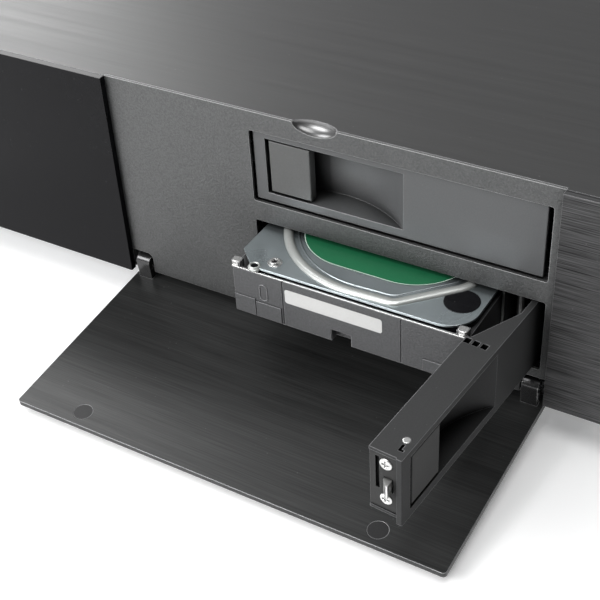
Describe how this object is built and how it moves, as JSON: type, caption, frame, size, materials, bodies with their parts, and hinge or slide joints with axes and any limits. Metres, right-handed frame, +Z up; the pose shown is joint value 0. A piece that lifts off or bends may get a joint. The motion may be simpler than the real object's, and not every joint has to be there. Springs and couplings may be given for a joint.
{
  "type": "media player with hard drive bays",
  "caption": "Hi-fi media player with a drop-down front door and hot-swap hard drive bays, whose swing handles latch shut and push the bare drives out as they open.",
  "frame": {"origin": "middle of the bounding box's footprint, on the surface the player stands on", "axes": "+X to the player's right seen from the front, +Y from the front to the back, +Z up"},
  "size_m": [0.43, 0.407, 0.114],
  "materials": {
    "cover_paint": "satin",
    "case_steel": "satin",
    "front_paint": "matte",
    "window_black": "gloss",
    "brushed_black": "brushed",
    "door_black": "satin",
    "foot_black": "matte",
    "foot_rubber": "matte",
    "screw_black": "satin",
    "hinge_black": "satin",
    "bright_steel": "satin",
    "magnet_nickel": "polished",
    "guide_plastic": "matte",
    "board_green": "satin",
    "socket_black": "satin",
    "handle_grey": "satin",
    "cap_black": "satin",
    "screw_steel": "polished",
    "latch_plastic": "satin",
    "cast_black": "satin",
    "lid_metal": "satin",
    "label_film": "satin",
    "heat_metal": "satin",
    "coil_yellow": "matte",
    "capacitor_sleeve": "gloss",
    "display_black": "gloss",
    "port_metal": "polished",
    "button_metal": "satin",
    "ejector_plastic": "matte"
  },
  "bodies": {
    "chassis": {"base_tray": "case_steel", "top_cover": "cover_paint", "cover_screws": "screw_black", "front_panel": "front_paint", "display_window": "window_black", "left_end_panel": "brushed_black", "right_end_panel": "brushed_black", "feet": "foot_black", "foot_pads": "foot_rubber", "cage_left_wall": "bright_steel", "cage_right_wall": "bright_steel", "cage_floor": "bright_steel", "cage_shelf": "bright_steel", "cage_roof": "bright_steel", "handle_pins": "screw_steel", "drive_guides": "guide_plastic", "backplane_board": "board_green", "drive_sockets": "socket_black", "door_hinge_brackets": "bright_steel", "door_hinge_pins": "screw_steel", "display_module": "display_black", "front_board": "board_green", "main_board": "board_green", "power_board": "board_green", "board_standoffs": "bright_steel", "heatsink": "heat_metal", "power_transformer": "coil_yellow", "power_capacitors": "capacitor_sleeve", "rear_panel": "case_steel", "mains_inlet": "socket_black", "switch_frame": "socket_black", "data_sockets": "port_metal", "audio_sockets": "port_metal"},
    "front_door": {"door_panel": "door_black", "door_magnets": "magnet_nickel", "door_hinge_arms": "hinge_black"},
    "lower_handle": {"lower_handle": "handle_grey", "lower_handle_cap": "cap_black", "lower_handle_screws": "screw_steel"},
    "lower_latch": {"lower_latch_button": "latch_plastic", "lower_latch_bolt": "screw_steel"},
    "lower_drive": {"lower_drive_casting": "cast_black", "lower_drive_lid": "lid_metal", "lower_drive_board": "board_green", "lower_drive_labels": "label_film"},
    "lower_ejector": {"lower_ejector": "ejector_plastic"},
    "upper_handle": {"upper_handle": "handle_grey", "upper_handle_cap": "cap_black", "upper_handle_screws": "screw_steel"},
    "upper_latch": {"upper_latch_button": "latch_plastic", "upper_latch_bolt": "screw_steel"},
    "upper_drive": {"upper_drive_casting": "cast_black", "upper_drive_lid": "lid_metal", "upper_drive_board": "board_green", "upper_drive_labels": "label_film"},
    "upper_ejector": {"upper_ejector": "ejector_plastic"},
    "power_button": {"power_button": "button_metal"},
    "power_switch": {"switch_rocker": "socket_black"}
  },
  "joints": [
    {"name": "front_door_hinge", "type": "hinge", "parent": "chassis", "child": "front_door", "pos_m": [0.08825, -0.10048, 0.019], "axis": [-1, 0, 0], "range_deg": [0, 12]},
    {"name": "lower_drive_slide", "type": "slide", "parent": "chassis", "child": "lower_drive", "axis": [0, -1, 0], "range_m": [-0.0443, 0]},
    {"name": "lower_ejector_slide", "type": "slide", "parent": "chassis", "child": "lower_ejector", "axis": [0, -1, 0], "range_m": [-0.0443, 0]},
    {"name": "lower_handle_hinge", "type": "hinge", "parent": "chassis", "child": "lower_handle", "pos_m": [0.1689, -0.09118, 0.0469], "axis": [0, 0, 1], "range_deg": [-85.5, 0]},
    {"name": "lower_latch_slide", "type": "slide", "parent": "lower_handle", "child": "lower_latch", "axis": [0.0785, 0.9969, 0], "range_m": [0, 0.002], "stiffness_N_per_m": 400, "springref_m": -0.002},
    {"name": "upper_drive_slide", "type": "slide", "parent": "chassis", "child": "upper_drive", "axis": [0, -1, 0], "range_m": [0, 0.0443]},
    {"name": "upper_ejector_slide", "type": "slide", "parent": "chassis", "child": "upper_ejector", "axis": [0, -1, 0], "range_m": [0, 0.0443]},
    {"name": "upper_handle_hinge", "type": "hinge", "parent": "chassis", "child": "upper_handle", "pos_m": [0.1689, -0.09118, 0.0891], "axis": [0, 0, 1], "range_deg": [0, 85.5]},
    {"name": "upper_latch_slide", "type": "slide", "parent": "upper_handle", "child": "upper_latch", "axis": [1, 0, 0], "range_m": [0, 0.002], "stiffness_N_per_m": 400, "springref_m": -0.002},
    {"name": "power_button_slide", "type": "slide", "parent": "chassis", "child": "power_button", "axis": [0, 1, 0], "range_m": [0, 0.0015], "stiffness_N_per_m": 600, "springref_m": -0.001},
    {"name": "power_switch_rock", "type": "hinge", "parent": "chassis", "child": "power_switch", "pos_m": [0.1295, 0.19302, 0.05], "axis": [-1, 0, 0], "range_deg": [0, 20]}
  ],
  "couplings": [
    {"joint": "lower_ejector_slide", "follows": "lower_drive_slide", "ratio": 1},
    {"joint": "lower_handle_hinge", "follows": "lower_drive_slide", "rad_per_m": 33.685},
    {"joint": "upper_ejector_slide", "follows": "upper_drive_slide", "ratio": 1},
    {"joint": "upper_handle_hinge", "follows": "upper_drive_slide", "rad_per_m": 33.685}
  ]
}
